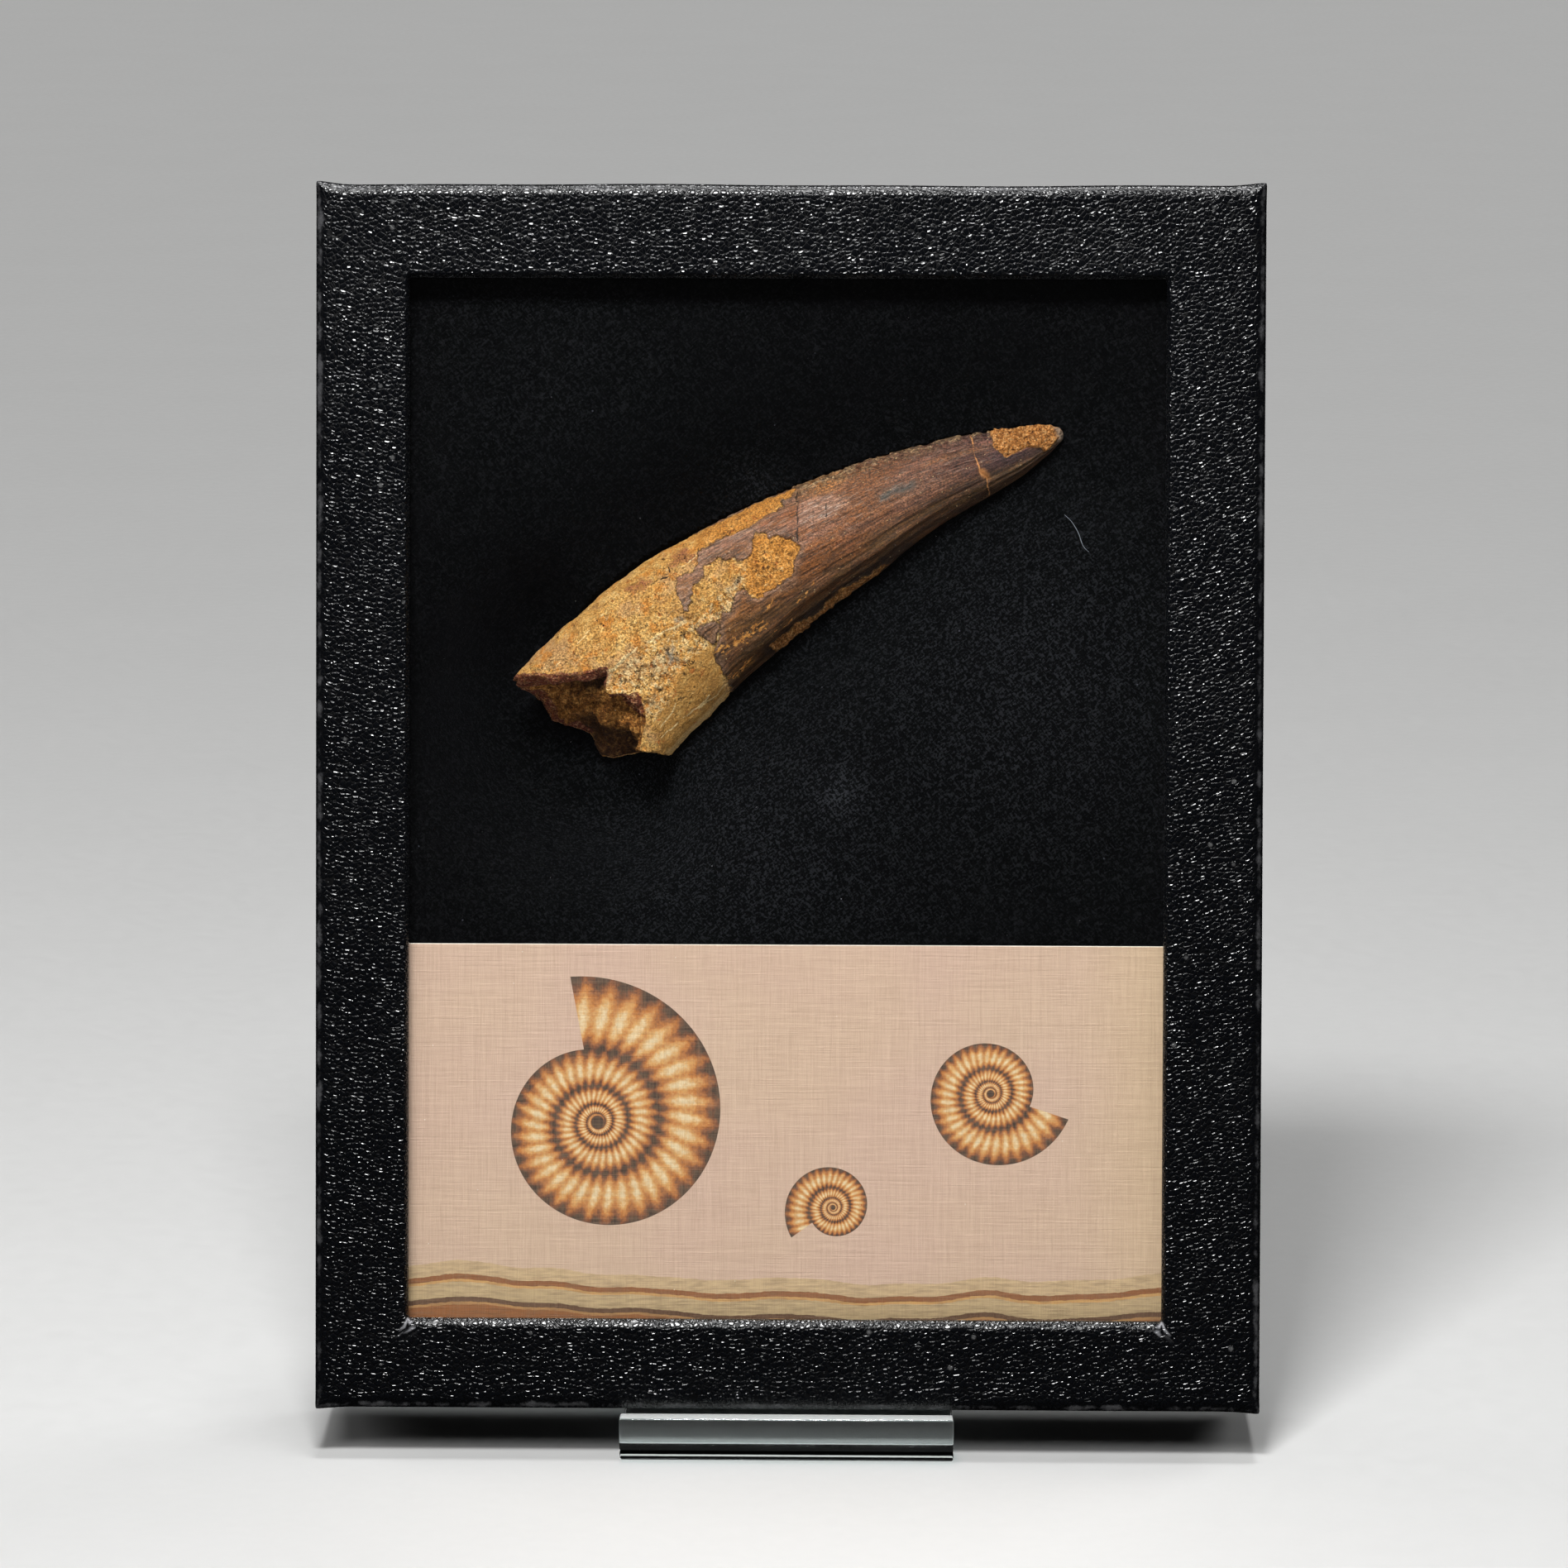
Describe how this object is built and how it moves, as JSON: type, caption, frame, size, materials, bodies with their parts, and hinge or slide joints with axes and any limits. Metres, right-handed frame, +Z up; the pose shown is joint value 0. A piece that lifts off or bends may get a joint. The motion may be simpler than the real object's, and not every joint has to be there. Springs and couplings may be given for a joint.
{
  "type": "framed fossil spinosaurus tooth",
  "caption": "A long curved fossil tooth pressed into black felt behind glass, in a shallow lift-lid display box that leans back on a small clear bent easel.",
  "frame": {"origin": "on the surface that the easel stands on, at the middle of the whole footprint", "axes": "+Z up, -Y out of the window towards the viewer, +X to the viewer's right; the box leans back by 10 degrees towards +Y"},
  "size_m": [0.156, 0.0947, 0.2072],
  "materials": {
    "grained_paper": "black leather-grained covering paper with a low sheen",
    "black_board": "matt black paper-covered board",
    "window_glass": "clear polished sheet glass",
    "felt": "black brushed felt over foam",
    "linen_card": null,
    "fossil": "mineralised tooth: brown striated enamel over an ochre sandy root",
    "clear_acrylic": "clear polished bent acrylic sheet"
  },
  "bodies": {
    "root": {"lid": "grained_paper", "base_tray": "black_board", "glass_pane": "window_glass", "felt_pad": "felt", "label_card": "linen_card", "tooth": "fossil", "easel": "clear_acrylic"}
  },
  "joints": []
}
